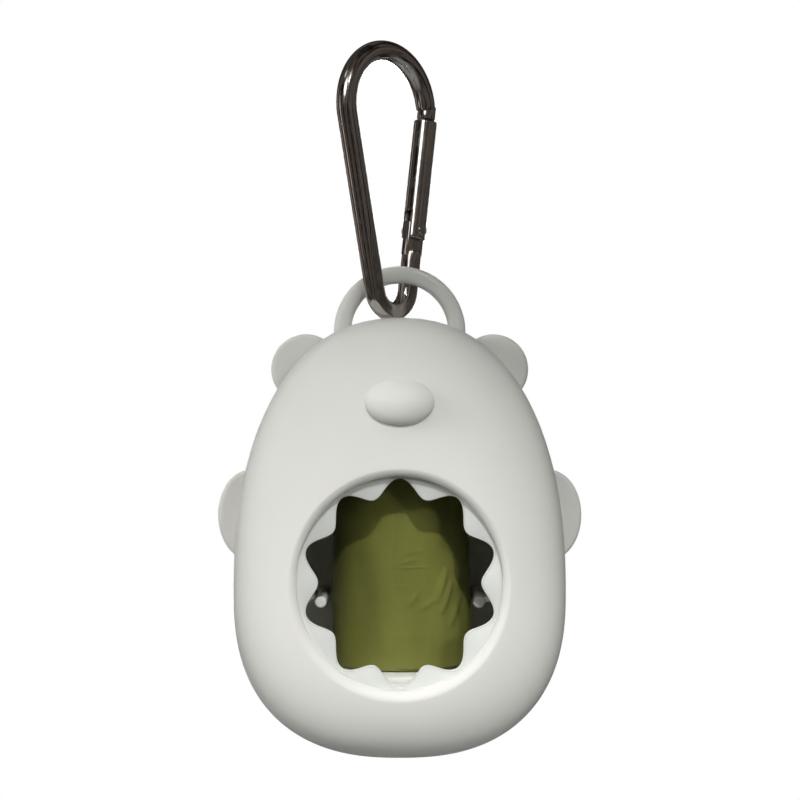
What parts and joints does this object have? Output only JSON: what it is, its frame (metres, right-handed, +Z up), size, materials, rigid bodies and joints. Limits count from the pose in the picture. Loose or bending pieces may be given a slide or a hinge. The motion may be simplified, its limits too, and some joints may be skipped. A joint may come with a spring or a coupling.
{
  "type": "dog poop bag dispenser",
  "caption": "Egg-shaped animal case with a star outlet that holds a roll of waste bags and hangs from a sprung snap clip by a loop.",
  "frame": {"origin": "top of the inside of the clip's upper bend, on the metal that a leash or ring bears on", "axes": "+Z up as the part hangs, -Y the side with the window, +X to the right of a viewer who faces the window"},
  "size_m": [0.08, 0.0465, 0.1562],
  "materials": {
    "clip_metal": "polished nickel plate",
    "rivet_metal": "peened",
    "spring_steel": "drawn",
    "case_plastic": "satin moulded",
    "disc_plastic": "satin moulded",
    "bag_film": "thin film, soft sheen",
    "core_board": "plain card"
  },
  "bodies": {
    "clip": {"clip_body": "clip_metal"},
    "gate": {"clip_gate": "clip_metal", "gate_rivet": "rivet_metal", "gate_spring": "spring_steel"},
    "plunger": {"gate_plunger": "spring_steel"},
    "case": {"front_shell": "case_plastic", "outlet_disc": "disc_plastic"},
    "rear": {"rear_shell": "case_plastic"},
    "roll": {"bag_roll": "bag_film", "roll_core": "core_board", "leading_bag": "bag_film"}
  },
  "joints": [
    {"name": "gate_swing", "type": "hinge", "parent": "clip", "child": "gate", "pos_m": [0.00598, 0.00641, -0.03676], "axis": [0.7314, -0.682, 0], "range_deg": [0, 28], "stiffness_Nm_per_rad": 0.02, "springref_deg": -34.38},
    {"name": "plunger_slide", "type": "slide", "parent": "gate", "child": "plunger", "axis": [0.105, 0.1126, 0.9881], "range_m": [0, 0.0009], "deforming": ["gate_spring"]},
    {"name": "case_swing", "type": "hinge", "parent": "clip", "child": "case", "pos_m": [0.0028, 0.00101, -0.0596], "axis": [0, 1, 0], "range_deg": [-30, 13]},
    {"name": "rear_cover_pull", "type": "slide", "parent": "case", "child": "rear", "axis": [0, 1, 0], "range_m": [0, 0.06]},
    {"name": "roll_spin", "type": "hinge", "parent": "rear", "child": "roll", "pos_m": [0.0028, 0.00531, -0.1162], "axis": [0, 0, 1], "continuous": true}
  ],
  "couplings": [
    {"joint": "plunger_slide", "follows": "gate_swing", "m_per_rad": 0.00175}
  ]
}
